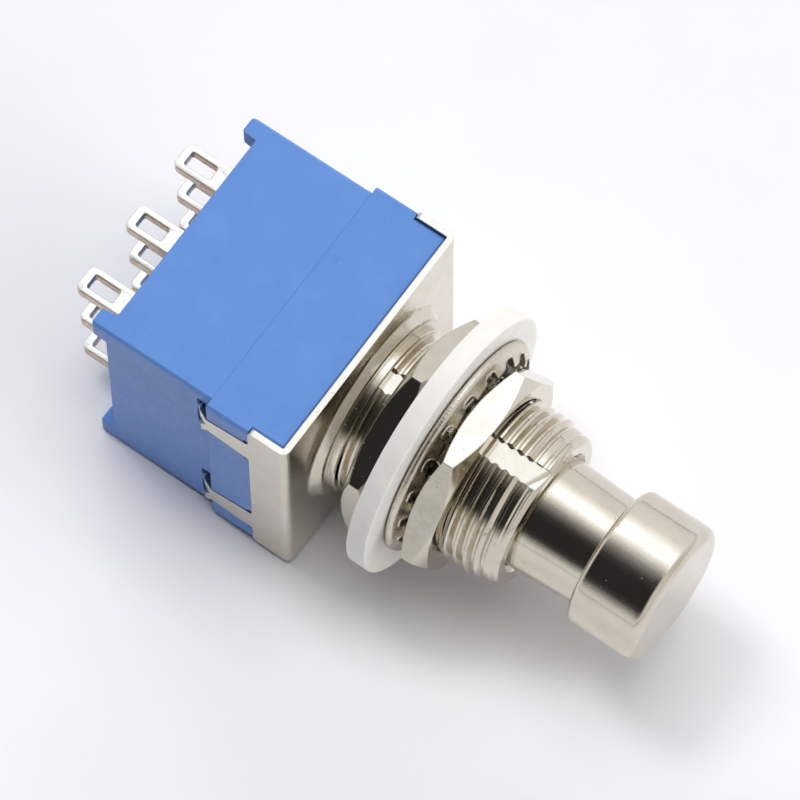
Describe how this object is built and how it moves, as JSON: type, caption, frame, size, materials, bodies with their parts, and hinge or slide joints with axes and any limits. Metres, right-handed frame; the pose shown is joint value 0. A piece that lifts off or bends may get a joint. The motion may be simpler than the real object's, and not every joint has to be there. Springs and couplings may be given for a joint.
{
  "type": "latching footswitch",
  "caption": "Latching stomp switch: blue terminal block in a nickel bracket, threaded bushing with nuts and washers, round metal button and solder lugs.",
  "frame": {"origin": "on the plunger's axis, in the plane of the bracket's front face", "axes": "+Z along the plunger's axis towards the button, +X and -X towards the bracket's two flanges, Y along each row of three terminals"},
  "size_m": [0.0194, 0.0192, 0.0425],
  "materials": {
    "blue_moulding": "fine satin moulding, pale blue",
    "nickel_plated_steel": "bright nickel plate on pressed steel",
    "nickel_plated_brass": "bright nickel plate on turned brass",
    "natural_nylon": "milky, slightly waxy",
    "silver_plated_copper": "satin silver plate",
    "silver_plated_bronze": "silver plate on spring bronze",
    "turned_brass": "bright turned brass",
    "spring_steel": "drawn wire",
    "black_moulding": "plain black moulding"
  },
  "bodies": {
    "housing": {"bracket": "nickel_plated_steel", "cover_frame": "blue_moulding", "base_housing": "blue_moulding", "bushing": "nickel_plated_brass", "rear_nut": "nickel_plated_brass", "nylon_washer": "natural_nylon", "lock_washer": "nickel_plated_steel", "front_nut": "nickel_plated_brass", "return_spring": "spring_steel", "terminal_throw_a1": "silver_plated_copper", "terminal_throw_b1": "silver_plated_copper", "terminal_common_1": "silver_plated_copper", "terminal_throw_a2": "silver_plated_copper", "terminal_throw_b2": "silver_plated_copper", "terminal_common_2": "silver_plated_copper", "terminal_throw_a3": "silver_plated_copper", "terminal_throw_b3": "silver_plated_copper", "terminal_common_3": "silver_plated_copper"},
    "button": {"button": "nickel_plated_brass", "retaining_ring": "spring_steel", "pusher_pin": "spring_steel"},
    "pusher": {"pusher": "natural_nylon"},
    "rocker": {"rocker": "black_moulding", "pin_spring_1": "spring_steel", "pin_spring_2": "spring_steel", "pin_spring_3": "spring_steel"},
    "contact_pin_1": {"contact_pin_1": "turned_brass"},
    "contact_blade_1": {"contact_blade_1": "silver_plated_bronze"},
    "contact_pin_2": {"contact_pin_2": "turned_brass"},
    "contact_blade_2": {"contact_blade_2": "silver_plated_bronze"},
    "contact_pin_3": {"contact_pin_3": "turned_brass"},
    "contact_blade_3": {"contact_blade_3": "silver_plated_bronze"}
  },
  "joints": [
    {"name": "button_press", "type": "slide", "parent": "housing", "child": "button", "axis": [0, 0, -1], "range_m": [0, 0.0026], "stiffness_N_per_m": 3000, "springref_m": -0.002, "deforming": ["return_spring"]},
    {"name": "pusher_swing", "type": "hinge", "parent": "button", "child": "pusher", "pos_m": [0, 0, 0.00309], "axis": [1, 0, 0], "range_deg": [0, 22]},
    {"name": "rocker_tilt", "type": "hinge", "parent": "housing", "child": "rocker", "pos_m": [0, 0, -0.0062], "axis": [1, 0, 0], "range_deg": [-26, 0]},
    {"name": "pin_1_slide", "type": "slide", "parent": "rocker", "child": "contact_pin_1", "axis": [0, -0.225, 0.9744], "range_m": [0, 0.0004], "stiffness_N_per_m": 150, "springref_m": -0.0006, "deforming": ["pin_spring_1"]},
    {"name": "blade_1_tilt", "type": "hinge", "parent": "housing", "child": "contact_blade_1", "pos_m": [-0.0053, 0, -0.01098], "axis": [1, 0, 0], "range_deg": [0, 14]},
    {"name": "pin_2_slide", "type": "slide", "parent": "rocker", "child": "contact_pin_2", "axis": [0, -0.225, 0.9744], "range_m": [0, 0.0004], "stiffness_N_per_m": 150, "springref_m": -0.0006, "deforming": ["pin_spring_2"]},
    {"name": "blade_2_tilt", "type": "hinge", "parent": "housing", "child": "contact_blade_2", "pos_m": [0, 0, -0.01098], "axis": [1, 0, 0], "range_deg": [0, 14]},
    {"name": "pin_3_slide", "type": "slide", "parent": "rocker", "child": "contact_pin_3", "axis": [0, -0.225, 0.9744], "range_m": [0, 0.0004], "stiffness_N_per_m": 150, "springref_m": -0.0006, "deforming": ["pin_spring_3"]},
    {"name": "blade_3_tilt", "type": "hinge", "parent": "housing", "child": "contact_blade_3", "pos_m": [0.0053, 0, -0.01098], "axis": [1, 0, 0], "range_deg": [0, 14]}
  ],
  "couplings": [
    {"joint": "pusher_swing", "follows": "button_press", "rad_per_m": 147.6},
    {"joint": "rocker_tilt", "follows": "button_press", "rad_per_m": -174.5},
    {"joint": "blade_1_tilt", "follows": "button_press", "rad_per_m": 93.95},
    {"joint": "blade_2_tilt", "follows": "button_press", "rad_per_m": 93.95},
    {"joint": "blade_3_tilt", "follows": "button_press", "rad_per_m": 93.95}
  ]
}
